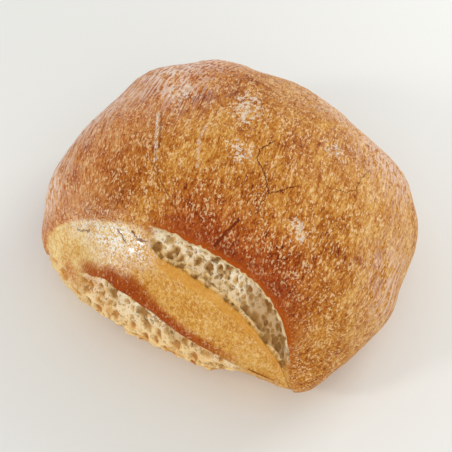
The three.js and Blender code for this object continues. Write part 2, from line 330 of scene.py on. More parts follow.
def section_point(section, share):
    """The point of a smooth curve through the section's points, at a share of its length."""
    points = np.array(section, float)
    last = len(points) - 1
    along = np.clip(share, 0, 1) * last
    step = np.minimum(along.astype(int), last - 1)
    weight = (along - step)[..., None]
    before = points[np.clip(step - 1, 0, last)]
    start = points[step]
    end = points[step + 1]
    after = points[np.clip(step + 2, 0, last)]
    bend = 2 * before - 5 * start + 4 * end - after
    twist = -before + 3 * start - 3 * end + after
    return start + 0.5 * ((end - before) * weight + bend * weight**2 + twist * weight**3)


def crossed(waves, x, y, z):
    """The sum of pairs of crossing waves at a place."""
    height = 0
    for pair in waves:
        crossing = pair.height
        for along_x, along_y, along_z, start in (pair.one, pair.other):
            crossing = crossing * np.sin(along_x * x + along_y * y + along_z * z + start)
        height = height + crossing
    return height


def dome_shares(x, y, rise):
    """How far a place lies out from the core, as shares of the smooth dome's reach on that side."""
    upwards = ease(-GIRTH_BLEND, GIRTH_BLEND, rise)
    reach = np.stack(
        [
            np.where(x > 0, DOME_RIGHT, DOME_LEFT),
            np.where(y > 0, DOME_BACK, DOME_FRONT),
            mix(UNDERSIDE, DOME_HEIGHT - GIRTH_HEIGHT, upwards),
        ],
        -1,
    )
    share = np.abs(np.stack([x, y, rise], -1)) / reach
    power = mix(UNDER_POWER, TOP_POWER, ease(-1.5 * GIRTH_BLEND, 0, rise))
    return reach, share, power


def dome_point_along(direction):
    """The point of the smooth dome that lies from its core along a unit direction."""
    offset = direction * DOME_BACK
    for _ in range(REACH_STEPS):
        _, share, power = dome_shares(offset[..., 0], offset[..., 1], offset[..., 2])
        plan = share[..., 0] ** PLAN_POWER + share[..., 1] ** PLAN_POWER
        outside = plan ** (power / PLAN_POWER) + share[..., 2] ** power
        offset = offset / (outside ** (1 / power))[..., None]
    return offset + np.array([0, 0, GIRTH_HEIGHT])


def front_point(x, height):
    """The point of the smooth dome's front that lies above x at a height."""
    _, share, power = dome_shares(x, np.full_like(x, -1.0), height - GIRTH_HEIGHT)
    plan = np.maximum(1 - share[..., 2] ** power, TINY) ** (PLAN_POWER / power)
    depth = np.maximum(plan - share[..., 0] ** PLAN_POWER, TINY) ** (1 / PLAN_POWER)
    return np.stack([x, -DOME_FRONT * depth, height], -1)


def facing(point):
    """The way the smooth dome's skin faces at a point of it."""
    rise = point[..., 2] - GIRTH_HEIGHT
    reach, share, power = dome_shares(point[..., 0], point[..., 1], rise)
    plan = np.maximum(share[..., 0] ** PLAN_POWER + share[..., 1] ** PLAN_POWER, TINY)
    rounding = plan ** (power / PLAN_POWER - 1)
    slope = np.stack(
        [
            np.sign(point[..., 0]) * rounding * share[..., 0] ** (PLAN_POWER - 1),
            np.sign(point[..., 1]) * rounding * share[..., 1] ** (PLAN_POWER - 1),
            np.sign(rise) * share[..., 2] ** (power - 1),
        ],
        -1,
    )
    slope = slope / reach
    return slope / np.linalg.norm(slope, axis=-1, keepdims=True)


def raised(point, height):
    """Moves a point of the smooth dome out by a height, and by the dough's unevenness."""
    x, y, z = point[..., 0], point[..., 1], point[..., 2]
    unevenness = crossed(DOUGH_WAVES, x, y, z)
    for swell in SWELLS:
        distance = np.sqrt((x - swell.x) ** 2 + (y - swell.y) ** 2 + (z - swell.z) ** 2)
        unevenness = unevenness + swell.height * bell(distance, swell.spread)
    return point + facing(point) * (height + unevenness)[..., None]


def ragged(x, start):
    """How far a torn edge strays from its line, along X."""
    coarse = [noise.noise(Vector((value * 0.27, start, 0))) for value in x]
    fine = [noise.noise(Vector((value * 1.1, start, 7))) for value in x]
    return RAGGED_EDGE * (1.6 * np.array(coarse) + 1.1 * np.array(fine))


Slash = namedtuple("Slash", "on_top strip_x strip_middle strip_edge outer_x outer_edge upper_open open")


def slash_at(angle):
    """The slash where each spoke crosses it: the edges of strip and dome, and how open the tear is."""
    cosine = np.cos(angle)
    across = np.sign(cosine) * np.abs(cosine) ** END_CROWDING
    on_top = np.sin(angle) >= 0
    to_right = across > 0
    reach = np.where(to_right, SLASH_RIGHT, SLASH_LEFT)
    ear_arch = arch(across, np.where(to_right, EAR_POWER_RIGHT, EAR_POWER_LEFT))
    outer_x = SLASH_X + reach * across
    slash_end = np.where(to_right, SLASH_END_RIGHT, SLASH_END_LEFT)
    outer_top = mix(slash_end, SLASH_TOP, ear_arch)
    outer_foot = mix(slash_end, FOOT_HEIGHT, arch(across, FOOT_POWER))

    end_short = np.where(to_right, STRIP_END_RIGHT, STRIP_END_LEFT)
    strip_x = SLASH_X + (reach - end_short) * across
    strip_end = slash_end + STRIP_END_RISE
    strip_arch = arch(across, np.where(to_right, STRIP_POWER_RIGHT, STRIP_POWER_LEFT))
    beside_crease = mix(strip_end, SLASH_TOP - CREASE_WIDTH, ear_arch)
    beside_tear = mix(strip_end, STRIP_TOP, strip_arch)
    strip_top = mix(beside_crease, beside_tear, ease(*STRIP_PARTS, strip_x))
    strip_right = SLASH_X + SLASH_RIGHT - STRIP_END_RIGHT
    strip_left = SLASH_X - SLASH_LEFT + STRIP_END_LEFT
    right_of_flap = strip_x > FLAP_X
    flap_end = np.where(right_of_flap, strip_right, strip_left)
    along_flap = np.minimum((strip_x - FLAP_X) / (flap_end - FLAP_X), 1)
    flap_power = np.where(right_of_flap, FLAP_POWER_RIGHT, FLAP_POWER_LEFT)
    flap_end_height = np.where(right_of_flap, SLASH_END_RIGHT, SLASH_END_LEFT) + STRIP_END_RISE
    strip_foot = mix(flap_end_height, FLAP_TOP, arch(along_flap, flap_power))

    ends = ease(1, TEAR_ENDS, np.abs(across))
    opened = [ends * ease(*opens, strip_x) for opens in (UPPER_TEAR_OPENS, LOWER_TEAR_OPENS)]
    closes = (UPPER_TEAR_CLOSES, LOWER_TEAR_CLOSES)
    closed = [1 - by * ease(start, end, strip_x) for start, end, by in closes]
    upper_open, lower_open = (one * other for one, other in zip(opened, closed))
    outer_top = outer_top + ragged(outer_x, 1) * upper_open
    strip_top = strip_top + ragged(strip_x, 2) * upper_open
    strip_foot = strip_foot + ragged(strip_x, 3) * lower_open
    strip_middle = (strip_top + strip_foot) / 2
    strip_edge = np.where(on_top, strip_top, strip_foot)
    outer_edge = np.where(on_top, outer_top, outer_foot)
    open_here = np.where(on_top, upper_open, lower_open)
    return Slash(on_top, strip_x, strip_middle, strip_edge, outer_x, outer_edge, upper_open, open_here)


def strip_points(slash, share):
    """Points of the strip, from its middle line (0) to its edge (1)."""
    height = mix(slash.strip_middle, slash.strip_edge, share)
    middle = -STRIP_SUNK * slash.upper_open
    hollow = -STRIP_SUNK - STRIP_HOLLOW * np.sin(np.pi * np.minimum(share / 0.8, 1))
    ridge = STRIP_RIDGE_HEIGHT * bell(share - STRIP_RIDGE_AT, STRIP_RIDGE_SPREAD)
    flap = middle + slash.open * (STRIP_SUNK + FLAP_SWELL) * ease(*FLAP_RISES, share)
    edge = np.where(slash.on_top, slash.open * (hollow + ridge), flap)
    x = np.broadcast_to(slash.strip_x, height.shape)
    return raised(front_point(x, height), mix(middle, edge, ease(0, 0.35, share)))


def tear_points(slash, share):
    """Points of the torn crumb, from the strip's edge (0) to the dome's edge (1)."""
    bow = np.sin(np.pi * share)
    crease_height = mix(-CREASE_DEPTH, CREASE_SWELL, ease(0, 1, share))
    closed_height = np.where(slash.on_top, crease_height, FOOT_BOW * bow)
    closed = np.stack([np.broadcast_to(share, closed_height.shape), closed_height], -1)
    upper = section_point(UPPER_TEAR, share)
    lower = section_point(LOWER_TEAR, share)
    torn = np.where(slash.on_top[None, :, None], upper, lower)
    profile = mix(closed, torn, slash.open[None, :, None])
    across, height = profile[..., 0], profile[..., 1]
    x = mix(slash.strip_x, slash.outer_x, across)
    z = mix(slash.strip_edge, slash.outer_edge, across)
    lump = crossed(CRUMB_WAVES, x, 0, z) * slash.open * bow
    return raised(front_point(x, z), height + lump)


def dome_points(slash, share, even_turn):
    """Points of the dome, from the slash's edge (0) to the middle of the back (1), and how far on."""
    edge = front_point(slash.outer_x, slash.outer_edge) - np.array([0, 0, GIRTH_HEIGHT])
    length = np.linalg.norm(edge, axis=-1)
    edge_tilt = np.arccos(-edge[..., 1] / length)
    edge_turn = np.arctan2(edge[..., 2], edge[..., 0])
    edge_turn = edge_turn + 2 * np.pi * np.round((even_turn - edge_turn) / (2 * np.pi))
    tilt = mix(edge_tilt, np.pi, share)
    turn = mix(edge_turn, even_turn, ease(0, 1, share))
    around = np.sin(tilt)
    direction = np.stack([around * np.cos(turn), -np.cos(tilt), around * np.sin(turn)], -1)
    from_edge = (tilt - edge_tilt) * length
    lip = np.where(slash.on_top, mix(CREASE_SWELL, EAR_SWELL, slash.open), 0)
    return raised(dome_point_along(direction), lip * bell(from_edge, LIP_WIDTH)), from_edge


def settled(point):
    """Leans and tapers the dough, and presses its underside flat."""
    x, z = point[..., 0], point[..., 2]
    y = point[..., 1] * (1 + TAPER * x)
    rounded = np.maximum(z + BASE_ROUNDING, 0) ** 2 / (4 * BASE_ROUNDING)
    z = np.where(z > BASE_ROUNDING, z, rounded)
    return np.stack([x + SKEW * y, y, np.where(z < BASE_TOUCH, 0, z)], -1)


def fitted(points):
    """The points, fitted into the solid's own box."""
    low, high = (np.array(corner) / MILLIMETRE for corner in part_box("bread_roll"))
    own_low = points.min(0)
    own_high = points.max(0)
    return low + (points - own_low) / (own_high - own_low) * (high - low)


Net = namedtuple("Net", "points faces from_strip_edge tear_share from_slash on_top open")


def roll_net():
    """The roll's whole skin, with where on it each point lies."""
    spokes = 2 * np.pi * np.arange(SPOKES) / SPOKES
    slash = slash_at(spokes)
    first_turn = math.atan2(slash.outer_edge[0] - GIRTH_HEIGHT, slash.outer_x[0])
    strip_shares = (np.arange(STRIP_RINGS) / STRIP_RINGS)[:, None]
    tear_shares = (np.arange(TEAR_RINGS + 1) / TEAR_RINGS)[:, None]
    dome_shares_out = ((np.arange(1, DOME_RINGS) / DOME_RINGS) ** RING_CROWDING)[:, None]
    dome, from_slash = dome_points(slash, dome_shares_out, first_turn + spokes)
    rings = np.concatenate([strip_points(slash, strip_shares), tear_points(slash, tear_shares), dome])
    back = raised(np.array([[0, DOME_BACK, GIRTH_HEIGHT]]), np.zeros(1))
    strip_width = np.abs(slash.strip_edge - slash.strip_middle)

    def whole(strip, tear, over_dome, at_back):
        """Joins one value for each part of the net, in the order of its points."""
        ring_counts = (STRIP_RINGS, TEAR_RINGS + 1, DOME_RINGS - 1)
        parts = zip((strip, tear, over_dome), ring_counts)
        values = np.concatenate([np.broadcast_to(part, (count, SPOKES)) for part, count in parts])
        return np.concatenate([values[0][: SPOKES // 2 + 1], values[1:].ravel(), [at_back]])

    points = np.concatenate([rings[0][: SPOKES // 2 + 1], rings[1:].reshape(-1, 3), back])
    return Net(
        points=fitted(settled(points)),
        faces=net_faces(len(rings), len(points) - 1),
        from_strip_edge=whole((1 - strip_shares) * strip_width, 0, 0, 0),
        tear_share=whole(0, tear_shares, 1, 1),
        from_slash=whole(0, 0, from_slash, FAR_AWAY),
        on_top=whole(slash.on_top, slash.on_top, slash.on_top, True).astype(bool),
        open=whole(slash.open, slash.open, slash.open, 0),
    )


def net_faces(ring_count, back_point):
    """The net's faces. The first ring is a line, whose two sides share their points."""
    line_points = SPOKES // 2 + 1
    around = np.arange(SPOKES)
    rings = [np.minimum(around, SPOKES - around)]
    rings += [line_points + (ring - 1) * SPOKES + around for ring in range(1, ring_count)]
    faces = []
    for inner, outer in zip(rings, rings[1:]):
        faces += np.stack([inner, outer, np.roll(outer, -1), np.roll(inner, -1)], -1).tolist()
    last = rings[-1]
    faces += [[start, back_point, end] for start, end in zip(last.tolist(), np.roll(last, -1).tolist())]
    return faces


def skin_normals(net):
    """The way the skin faces at each point."""
    four_sided = np.array(net.faces[:-SPOKES])
    three_sided = np.array(net.faces[-SPOKES:])
    normals = np.zeros_like(net.points)
    for faces in (four_sided, three_sided):
        corners = net.points[faces]
        across = np.cross(corners[:, 2] - corners[:, 0], corners[:, -1] - corners[:, 1])
        for corner in range(faces.shape[1]):
            np.add.at(normals, faces[:, corner], across)
    return normals / np.maximum(np.linalg.norm(normals, axis=1, keepdims=True), TINY)


def stretched(points):
    """The points, with X counted across the wrinkles, which lean on the left of the roll."""
    left = ease(-5, -35, points[:, 0])
    moved = points.copy()
    moved[:, 0] += LEAN_OF_STRETCH * points[:, 1] * left
    return moved


def noise_at(points, across, along, start=0.0):
    """Smooth noise from about -1 to 1 with features of a size across and along Y."""
    scaled = points / np.array([across, along, across]) + start
    return np.array([noise.noise(place) for place in scaled])


def bubbles_at(places, size, start):
    """How deep each place lies in a bubble, from 0 outside it to 1. The bubbles are not all as large."""
    measured = []
    for place in places / size + start:
        distances, middles = noise.voronoi(Vector(place))
        own_size = noise.cell(middles[0] * BUBBLE_SHUFFLE)
        measured.append((distances[0], distances[1] - distances[0], own_size))
    nearest, wall, own_sizes = np.array(measured).T
    radius = SMALLEST_BUBBLE + BUBBLES_VARY * own_sizes
    return ease(radius, 0.45 * radius, nearest) * ease(0.0, BUBBLE_WALL, wall)


def near(points, patches):
    """The sum of the patches' amounts at each point."""
    total = np.zeros(len(points))
    for *place, spread, amount in patches:
        distance = np.linalg.norm(points - np.array(place), axis=1)
        total += amount * bell(distance, spread)
    return total


def crumb_share(net):
    """How far each point belongs to the torn crumb (1) and not to the crust (0)."""
    upper = ease(0.0, 0.05, net.tear_share) * ease(0.93, 0.86, net.tear_share)
    lower = ease(0.11, ROLLED_EDGE, net.tear_share) * ease(1.0, 0.8, net.tear_share)
    return np.where(net.on_top, upper, lower) * ease(0.05, 0.5, net.open)


def toasted_dough(net):
    """How far each point belongs to the pale, lumpy dough that the oven toasted round the lower tear."""
    x, y, z = net.points.T
    in_the_tear = ease(0.5, 1.0, net.tear_share)
    below_the_tear = np.where(net.tear_share < 1, in_the_tear, bell(net.from_slash, 4.0))
    left_of_the_tear = ease(-40, -30, x) * ease(-14, -22, x) * ease(-15, -25, y)
    left_of_the_tear = left_of_the_tear * ease(22, 18, z + 0.25 * (x + 26))
    lumpy = np.maximum(below_the_tear * ease(26, 16, x), left_of_the_tear) * ease(-42, -34, x)
    return np.where(net.on_top, 0.0, lumpy)


def relief(net):
    """How far the fine relief lifts each point."""
    along_marks = stretched(net.points)
    wrinkles = WRINKLE_HEIGHT * noise_at(along_marks, 1.7, 6.0)
    leather = LEATHER_HEIGHT * noise_at(net.points, 2.1, 2.6, 11)
    dimples = DIMPLE_HEIGHT * noise_at(net.points, 6.0, 8.0, 23)
    lumps = LUMP_HEIGHT * (0.3 + lumps_at(net.points))
    crust = mix(wrinkles + leather + dimples, lumps, toasted_dough(net))
    bank = BANK_HEIGHT * bell(net.tear_share - 0.07, 0.08) * net.on_top
    lift = mix(crust, 0.4 + bank - PORE_DEPTH * pores_in_the_crumb(net), crumb_share(net))
    return lift * ease(0.0, 2.5, net.points[:, 2])


def lumps_at(points):
    """The lumps of the toasted dough, from about -1 in the hollows to 1."""
    return noise_at(points, LUMP_SIZE, LUMP_SIZE, 31)


def pores_in_the_crumb(net):
    """How deep each point of the torn crumb lies in a pore, from 0 on a wall to 1."""
    depth = np.zeros(len(net.points))
    inside = crumb_share(net) > 0
    stretch = np.where(net.on_top, PORE_STRETCH, PORE_STRETCH_BELOW)[inside]
    places = net.points[inside] * np.stack([np.ones(len(stretch)), stretch, stretch], -1)
    big = bubbles_at(places, BIG_PORE, 5)
    middling = bubbles_at(places, MIDDLING_PORE, 9)
    depth[inside] = np.maximum(big, 0.7 * middling)
    return depth


def near_the_ear(net):
    """How near each point of the crust lies to the ear, which stood up into the oven's heat."""
    return net.open * bell(net.from_slash, 13.0) * net.on_top * ease(46, 30, net.points[:, 0])


def lip_of_the_flap(net):
    """How far each point belongs to the dark band of crust along the flap's edge."""
    x = net.points[:, 0]
    band = LIP_BAND + LIP_BAND_WIDENS * bell(x - LIP_WIDEST_AT, LIP_WIDE_PART)
    on_strip = (net.tear_share < ROLLED_EDGE) * ~net.on_top
    return on_strip * ease(1.7, 0.5, net.from_strip_edge / band) * ease(-23, -14, x) * ease(30, 12, x)


def far_left_foot(points):
    """How far each point belongs to the low left end of the strip."""
    return ease(24, 12, points[:, 2]) * ease(-28, -42, points[:, 0])


def browning(net, over_dome, lip):
    """How brown the crust is, from 0 for pale to 1 for dark."""
    points = net.points
    x, y, z = points.T
    dome = 0.54 + EAR_TOASTING * near_the_ear(net) + 0.06 * ease(-2, -30, x) - 0.1 * ease(24, 50, x)
    dome += 0.07 * ease(-14, -30, y) * ease(20, 40, x)
    dome += near(points, BROWNER_OR_PALER)
    dome -= 0.08 * ease(20, 45, y) + 0.09 * ease(-8, -30, x)
    strip = mix(0.34, 0.17, ease(-4, -14, x)) + near(points, BROWNER_ON_THE_STRIP)
    strip += 0.38 * lip + 0.25 * far_left_foot(points)
    foot = ease(14, 6, z) * ease(-15, -30, y)
    return mix(mix(strip, dome, over_dome), 0.34, foot * over_dome)


def reddening(net, over_dome, lip):
    """How far the crust's colour is red and not golden."""
    points = net.points
    dome = 0.12 + 0.55 * ease(-2, -30, points[:, 0]) + 0.75 * near_the_ear(net)
    strip = near(points, REDDER_ON_THE_STRIP) + 0.5 * far_left_foot(points)
    return mix(np.maximum(strip, 0.75 * lip), dome, over_dome)


def edge_bands(net):
    """The bands that run along the tears, by name."""
    share = net.tear_share
    on_the_ear = np.where(share < 1, ease(0.9, 0.97, share), bell(net.from_slash, 1.1))
    under_the_ear = net.on_top * ease(0.84, 0.89, share) * ease(0.96, 0.93, share)
    under_the_lip = ~net.on_top * bell(share - ROLLED_EDGE, 0.025)
    on_the_strip = (share < 0.02) * ease(3.2, 2.2, net.from_strip_edge)
    return {
        "rim": net.on_top * net.open * on_the_ear,
        # a pale torn edge, partly painted light where the edge catches the light
        "pale_edge_and_painted_light": 0.8 * net.open * (under_the_ear + under_the_lip),
        "top_band": net.on_top * net.open * on_the_strip,
    }


def crumb_finish(net, torn):
    """The values that belong to the torn crumb, by name."""
    x = net.points[:, 0]
    share = net.tear_share
    # The smoother, darker skin at the right end of the upper tear; its darkness is partly painted shade
    # of the recess under the ear
    film_and_painted_shade = net.on_top * ease(21, 28, x) * ease(0.06, 0.18, share) * ease(0.66, 0.54, share)
    yellowed_below = 0.15 + 0.7 * ease(0.45, 0.85, share) + 0.4 * ease(0, 12, x)
    return {
        "torn": torn,
        "pore": pores_in_the_crumb(net),
        # Painted light: the crumb just under the ear is painted paler, as it is lit there
        "painted_light_under_the_ear": net.on_top * ease(0.5, 0.8, share),
        "yellowed": np.where(net.on_top, ease(0.36, 0.05, share), yellowed_below),
        "film_and_painted_shade": film_and_painted_shade,
        # Painted shade: dark holes where the flap hangs over the lower tear, and in the tears' hollows
        "painted_shade_under_the_flap": 0.7 * ~net.on_top * net.open * bell(share - 0.5, 0.13) * ease(-6, 2, x),
        "painted_shade_in_hollows": near(net.points, PAINTED_SHADE_IN_THE_TEARS) * torn,
        "golden_spot": near(net.points, GOLDEN_IN_THE_TEARS) * torn,
    }


def crust_finish(net):
    """The values from 0 to 1 that the material reads at each point, by name."""
    points = net.points
    share = net.tear_share
    torn = crumb_share(net)
    lumpy = toasted_dough(net)
    lip = lip_of_the_flap(net)
    over_dome = np.where(net.on_top, ease(0.25, 0.8, share), ease(0.3, 0.9, share))
    skyward = over_dome * ease(4, 20, points[:, 2])
    gloss_and_painted_glints = near(points, GLOSS_AND_PAINTED_GLINT_PLACES) * (1 - torn) * (1 - lumpy) * (1 - lip)
    grain_on_the_strip = mix(0.72, 1.0, ease(-4, -14, points[:, 0]))
    grain_on_the_dome = 1.0 - 0.6 * net.open * bell(net.from_slash, 6.0)
    finish = {
        "baked": browning(net, over_dome, lip),
        "redness": reddening(net, over_dome, lip),
        "grainy": mix(grain_on_the_strip, grain_on_the_dome, over_dome),
        "floured": (near(points, FLOURED_PLACES) + 0.2) * skyward,
        # dust, and painted sheen on the flanks and the back
        "dust_and_painted_sheen": near(points, DUST_AND_PAINTED_SHEEN_PLACES) * skyward,
        # glossy on the shoulder, and the mask of its painted glints
        "glossy": np.minimum(gloss_and_painted_glints, 1) * (1 - 0.8 * over_dome),
        "lip": lip,
        "toasted_dough": lumpy,
        # toasted spots in the lumps' hollows, partly painted shade
        "hollow": ease(0.1, -0.2, lumps_at(points)) * lumpy,
        **edge_bands(net),
        **crumb_finish(net, torn),
    }
    return {name: np.clip(values, 0, 1) for name, values in finish.items()}


def placed(name, data):
    """A new object in the scene, with this mesh, light or camera."""
    made = bpy.data.objects.new(name, data)
    bpy.context.collection.objects.link(made)
    return made


def turned(name, data, place, turn):
    """A new object at a place, turned by a quaternion."""
    made = placed(name, data)
    made.location = place
    made.rotation_mode = "QUATERNION"
    made.rotation_quaternion = turn
    return made


def new_material(name):
    """An empty material, and its shader."""
    material = bpy.data.materials.new(name)
    material.use_nodes = True
    return material, material.node_tree.nodes["Principled BSDF"]


def baked_roll(material):
    """The roll's skin as one closed mesh."""
    net = roll_net()
    points = net.points + skin_normals(net) * relief(net)[:, None]
    points[:, 2] = np.maximum(points[:, 2], 0)
    mesh = bpy.data.meshes.new("bread_roll_baked")
    mesh.from_pydata(points * MILLIMETRE, [], net.faces)
    for name, values in crust_finish(net).items():
        mesh.attributes.new(name, "FLOAT", "POINT").data.foreach_set("value", values.astype(np.float32))
    mesh.polygons.foreach_set("use_smooth", [True] * len(mesh.polygons))
    mesh.materials.append(material)
    return placed("bread_roll_baked", mesh)


class Wiring:
    """Adds nodes to one material or node group, and joins them."""

    def __init__(self, tree):
        self.tree = tree

    def node(self, kind, inputs=(), **settings):
        made = self.tree.nodes.new(kind)
        for name, value in settings.items():
            setattr(made, name, value)
        for socket, value in dict(inputs).items():
            self.feed(made.inputs[socket], value)
        return made

    def feed(self, socket, value):
        if isinstance(value, bpy.types.NodeSocket):
            self.tree.links.new(value, socket)
        else:
            socket.default_value = value

    def math(self, operation, *values):
        return self.node("ShaderNodeMath", enumerate(values), operation=operation).outputs[0]

    def times(self, one, other):
        return self.math("MULTIPLY", one, other)

    def plus(self, one, other):
        return self.math("ADD", one, other)

    def larger(self, one, other):
        return self.math("MAXIMUM", one, other)

    def rest_of(self, share):
        return self.math("SUBTRACT", 1.0, share)

    def vector(self, operation, *values):
        made = self.node("ShaderNodeVectorMath", enumerate(values), operation=operation)
        return made.outputs["Value" if operation in ("LENGTH", "DOT_PRODUCT") else "Vector"]

    def remap(self, value, start, end, low=0.0, high=1.0):
        """Rises smoothly from low to high as the value goes from start to end."""
        inputs = {"Value": value, "From Min": start, "From Max": end, "To Min": low, "To Max": high}
        made = self.node("ShaderNodeMapRange", inputs, interpolation_type="SMOOTHSTEP")
        return made.outputs["Result"]

    def blend(self, share, first, second):
        inputs = {0: share, 6: first, 7: second}
        made = self.node("ShaderNodeMix", inputs, data_type="RGBA")
        return made.outputs[2]

    def noise(self, place, scale, detail=2.0, roughness=0.55):
        inputs = {"Vector": place, "Scale": scale, "Detail": detail, "Roughness": roughness}
        return self.node("ShaderNodeTexNoise", inputs).outputs["Fac"]

    def shake(self, place, scale, detail):
        """Noise in three directions."""
        inputs = {"Vector": place, "Scale": scale, "Detail": detail}
        return self.node("ShaderNodeTexNoise", inputs).outputs["Color"]

    def attribute(self, name):
        return self.node("ShaderNodeAttribute", attribute_name=name).outputs["Fac"]

    def broken_up(self, name, grain, *levels):
        """What an attribute says, stronger and weaker with a grain."""
        return self.times(self.attribute(name), self.remap(grain, *levels))

    def group(self, tree, **inputs):
        """Places a node group, with these values in its inputs."""
        made = self.tree.nodes.new("ShaderNodeGroup")
        made.node_tree = tree
        for name, value in inputs.items():
            self.feed(made.inputs[name], value)
        return made.outputs[0]

    def ramp(self, share, colours):
        """Evenly spaced colours, from a share of 0 to 1."""
        made = self.node("ShaderNodeValToRGB", {"Fac": share})
        elements = made.color_ramp.elements
        while len(elements) < len(colours):
            elements.new(0.5)
        for step, own_colour in enumerate(colours):
            elements[step].position = step / (len(colours) - 1)
            elements[step].color = own_colour
        return made.outputs["Color"]


def new_group(name, vectors, numbers, output):
    """An empty node group with named inputs and one number as output: its wiring, inputs and way out."""
    tree = bpy.data.node_groups.new(name, "ShaderNodeTree")
    for kind, labels in (("NodeSocketVector", vectors), ("NodeSocketFloat", numbers)):
        for label in labels:
            tree.interface.new_socket(name=label, in_out="INPUT", socket_type=kind)
    tree.interface.new_socket(name=output, in_out="OUTPUT", socket_type="NodeSocketFloat")
    wiring = Wiring(tree)
    entry = wiring.node("NodeGroupInput")
    way_out = wiring.node("NodeGroupOutput")
    return wiring, entry.outputs, way_out.inputs[output]


def colour(red, green, blue):
    """A colour from its screen values, 0 to 255."""
    def linear(value):
        share = value / 255
        return share / 12.92 if share <= 0.04045 else ((share + 0.055) / 1.055) ** 2.4

    return (linear(red), linear(green), linear(blue), 1.0)


def stretched_grain_group():
    """Noise whose grains are longer along Y, as the dough was stretched. They lean, most on the left."""
    wiring, given, grain = new_group("stretched_grain", ["Place"], ["Across", "Along"], "Grain")
    parts = wiring.node("ShaderNodeSeparateXYZ", {0: given["Place"]}).outputs
    on_the_left = wiring.remap(parts["X"], -5.0, -35.0)
    at_the_front = wiring.remap(parts["Y"], 20.0, -5.0)
    leaning = wiring.times(on_the_left, at_the_front)
    lean = wiring.remap(leaning, 0.0, 1.0, LEAN_OF_STRETCH, LEAN_ON_THE_LEFT)
    sideways = wiring.plus(parts["X"], wiring.times(parts["Y"], lean))
    scaled = {
        "X": wiring.math("DIVIDE", sideways, given["Across"]),
        "Y": wiring.math("DIVIDE", parts["Y"], given["Along"]),
        "Z": wiring.math("DIVIDE", parts["Z"], given["Across"]),
    }
    scaled_place = wiring.node("ShaderNodeCombineXYZ", scaled).outputs[0]
    wiring.feed(grain, wiring.noise(scaled_place, 1.0, 2.5, 0.6))
    return wiring.tree


def specks_group():
    """Scattered specks: noise of a size, cut off so that only its peaks are left."""
    wiring, given, specks = new_group("specks", [], ["Grain", "Cut", "Softness"], "Specks")
    full = wiring.plus(given["Cut"], given["Softness"])
    wiring.feed(specks, wiring.remap(given["Grain"], given["Cut"], full))
    return wiring.tree


def crack_group():
    """One straight piece of a crack, as it is seen from above."""
    wiring, given, crack = new_group("crack_piece", ["Place", "From", "To"], ["Width"], "Crack")
    to_place = wiring.vector("SUBTRACT", given["Place"], given["From"])
    whole = wiring.vector("SUBTRACT", given["To"], given["From"])
    covered = wiring.vector("DOT_PRODUCT", to_place, whole)
    along = wiring.math("DIVIDE", covered, wiring.vector("DOT_PRODUCT", whole, whole))
    held = wiring.node("ShaderNodeClamp", {"Value": along}).outputs[0]
    nearest = wiring.node("ShaderNodeVectorMath", {0: whole, "Scale": held}, operation="SCALE").outputs[0]
    distance = wiring.vector("LENGTH", wiring.vector("SUBTRACT", to_place, nearest))
    half = wiring.times(given["Width"], 0.5)
    wiring.feed(crack, wiring.remap(distance, half, wiring.times(half, 0.3)))
    return wiring.tree


def pores_group():
    """Scattered round pores of all sizes in the crumb: 1 in the middle of one, and 0 outside."""
    wiring, given, pore = new_group("crumb_pores", ["Place"], ["Spacing", "Largest"], "Pore")
    where = {"Vector": given["Place"], "Scale": wiring.math("DIVIDE", 1.0, given["Spacing"])}
    cells = wiring.node("ShaderNodeTexVoronoi", where).outputs
    own_size = wiring.node("ShaderNodeSeparateColor", {"Color": cells["Color"]}).outputs["Red"]
    share = wiring.plus(0.25, wiring.times(own_size, 0.75))
    radius = wiring.times(given["Largest"], share)
    wiring.feed(pore, wiring.remap(cells["Distance"], radius, wiring.times(radius, 0.6)))
    return wiring.tree


GOLDEN_CRUST = [
    colour(248, 221, 158),
    colour(232, 183, 100),
    colour(211, 150, 64),
    colour(185, 114, 32),
    colour(152, 74, 10),
    colour(100, 37, 0),
]
RED_CRUST = [
    colour(246, 211, 168),
    colour(231, 170, 116),
    colour(211, 132, 76),
    colour(187, 95, 38),
    colour(152, 58, 14),
    colour(96, 25, 0),
]
FLOUR = colour(240, 226, 206)
# Pale specks on the crust: partly dry specks, partly painted glints of its rough surface
DRY_SPECK_AND_PAINTED_GLINT = colour(244, 206, 154)
DARK_FLECK = colour(112, 48, 14)
BAKED_SHINE = 0.04  # how glossy the plain crust is, next to the glossy shoulder at 1
ORANGE_RIM = colour(178, 80, 0)
DARK_LIP = colour(162, 68, 0)
STRIP_TOP_BAND = colour(224, 156, 58)
# The pale torn edge under the ear and past the flap's rolled edge, partly painted light
PALE_RIM_AND_PAINTED_LIGHT = colour(250, 226, 172)
# White glints painted on the glossy shoulder: a painted highlight
PAINTED_GLINT = colour(255, 252, 244)
CRACK_DEPTH_COLOUR = colour(120, 42, 10)
# Pinkish-white dust, which also stands for a painted sheen on the crust's flanks and back
DUST_AND_PAINTED_SHEEN = colour(244, 214, 196)
CRUMB = colour(232, 200, 146)
# Painted shade in the crumb's pores, and painted light on the thin walls between them
PAINTED_PORE_SHADE = colour(154, 106, 50)
PAINTED_LIT_CRUMB_WALL = colour(255, 242, 212)
YELLOWED_CRUMB = colour(252, 208, 130)
# A smoother, darker skin of crumb, partly painted shade of the recess under the ear
CRUMB_FILM_AND_PAINTED_SHADE = colour(180, 136, 78)
PALE_DOUGH = colour(254, 226, 164)
TOASTED_SPOT = colour(208, 132, 34)
# Toasted dough deep in the pores, darker by painted shade
TOASTED_PORE_AND_PAINTED_SHADE = colour(178, 98, 22)


